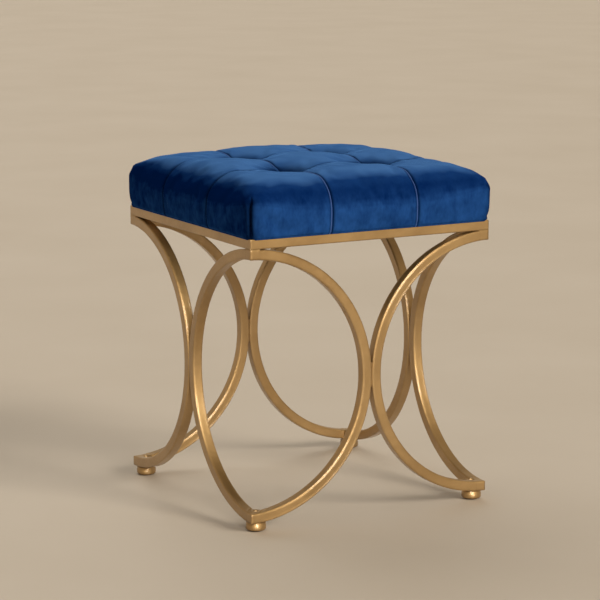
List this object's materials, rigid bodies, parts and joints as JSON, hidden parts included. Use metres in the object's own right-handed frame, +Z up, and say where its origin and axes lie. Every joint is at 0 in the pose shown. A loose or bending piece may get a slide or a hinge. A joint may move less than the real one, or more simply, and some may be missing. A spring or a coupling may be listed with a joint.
{
  "type": "accent stool",
  "caption": "Square accent stool: tufted velvet cushion on an open frame of bent square tube, with half rings back to back on each side, standing on screw-in levelling feet.",
  "frame": {"origin": "centre of the stool's footprint, on the floor under the soles", "axes": "+Z up, -Y towards the front, +X to the right seen from the front"},
  "size_m": [0.412, 0.412, 0.5133],
  "materials": {
    "frame_gold": "satin champagne gold paint on steel",
    "zinc_steel": "zinc plated",
    "sole_rubber": "matt moulded rubber",
    "plywood": "raw birch plywood",
    "foam": "open cell upholstery foam",
    "velvet": "short pile velvet",
    "dust_cloth": "black non-woven cloth",
    "twine": "waxed tufting twine",
    "fibre": "pressed fibre"
  },
  "bodies": {
    "stool": {"rail_front": "frame_gold", "rail_right": "frame_gold", "rail_back": "frame_gold", "rail_left": "frame_gold", "top_block_front_left": "frame_gold", "top_block_front_right": "frame_gold", "top_block_back_right": "frame_gold", "top_block_back_left": "frame_gold", "foot_block_front_left": "frame_gold", "foot_block_front_right": "frame_gold", "foot_block_back_right": "frame_gold", "foot_block_back_left": "frame_gold", "ring_front_left": "frame_gold", "ring_front_right": "frame_gold", "ring_right_front": "frame_gold", "ring_right_back": "frame_gold", "ring_back_right": "frame_gold", "ring_back_left": "frame_gold", "ring_left_back": "frame_gold", "ring_left_front": "frame_gold", "side_welds": "frame_gold", "bracket_front_left": "frame_gold", "bracket_front_right": "frame_gold", "bracket_back_right": "frame_gold", "bracket_back_left": "frame_gold", "seat_board": "plywood", "seat_foam": "foam", "seat_cover": "velvet", "dust_cover": "dust_cloth", "tuft_twine": "twine", "tuft_discs": "fibre", "tee_nuts": "zinc_steel", "seat_bolts": "zinc_steel", "bolt_washers": "zinc_steel"},
    "foot_front_left": {"glide_foot_front_left": "frame_gold", "glide_sole_front_left": "sole_rubber"},
    "stud_front_left": {"glide_stud_front_left": "zinc_steel"},
    "foot_front_right": {"glide_foot_front_right": "frame_gold", "glide_sole_front_right": "sole_rubber"},
    "stud_front_right": {"glide_stud_front_right": "zinc_steel"},
    "foot_back_right": {"glide_foot_back_right": "frame_gold", "glide_sole_back_right": "sole_rubber"},
    "stud_back_right": {"glide_stud_back_right": "zinc_steel"},
    "foot_back_left": {"glide_foot_back_left": "frame_gold", "glide_sole_back_left": "sole_rubber"},
    "stud_back_left": {"glide_stud_back_left": "zinc_steel"}
  },
  "joints": [
    {"name": "foot_front_left_travel", "type": "slide", "parent": "stool", "child": "foot_front_left", "axis": [0, 0, -1], "range_m": [0, 0.0075]},
    {"name": "stud_front_left_turn", "type": "hinge", "parent": "foot_front_left", "child": "stud_front_left", "pos_m": [-0.185, -0.185, 0.013], "axis": [0, 0, -1], "range_deg": [0, 2160]},
    {"name": "foot_front_right_travel", "type": "slide", "parent": "stool", "child": "foot_front_right", "axis": [0, 0, -1], "range_m": [0, 0.0075]},
    {"name": "stud_front_right_turn", "type": "hinge", "parent": "foot_front_right", "child": "stud_front_right", "pos_m": [0.185, -0.185, 0.013], "axis": [0, 0, -1], "range_deg": [0, 2160]},
    {"name": "foot_back_right_travel", "type": "slide", "parent": "stool", "child": "foot_back_right", "axis": [0, 0, -1], "range_m": [0, 0.0075]},
    {"name": "stud_back_right_turn", "type": "hinge", "parent": "foot_back_right", "child": "stud_back_right", "pos_m": [0.185, 0.185, 0.013], "axis": [0, 0, -1], "range_deg": [0, 2160]},
    {"name": "foot_back_left_travel", "type": "slide", "parent": "stool", "child": "foot_back_left", "axis": [0, 0, -1], "range_m": [0, 0.0075]},
    {"name": "stud_back_left_turn", "type": "hinge", "parent": "foot_back_left", "child": "stud_back_left", "pos_m": [-0.185, 0.185, 0.013], "axis": [0, 0, -1], "range_deg": [0, 2160]}
  ],
  "couplings": [
    {"joint": "stud_front_left_turn", "follows": "foot_front_left_travel", "rad_per_m": 5026.5},
    {"joint": "stud_front_right_turn", "follows": "foot_front_right_travel", "rad_per_m": 5026.5},
    {"joint": "stud_back_right_turn", "follows": "foot_back_right_travel", "rad_per_m": 5026.5},
    {"joint": "stud_back_left_turn", "follows": "foot_back_left_travel", "rad_per_m": 5026.5}
  ]
}
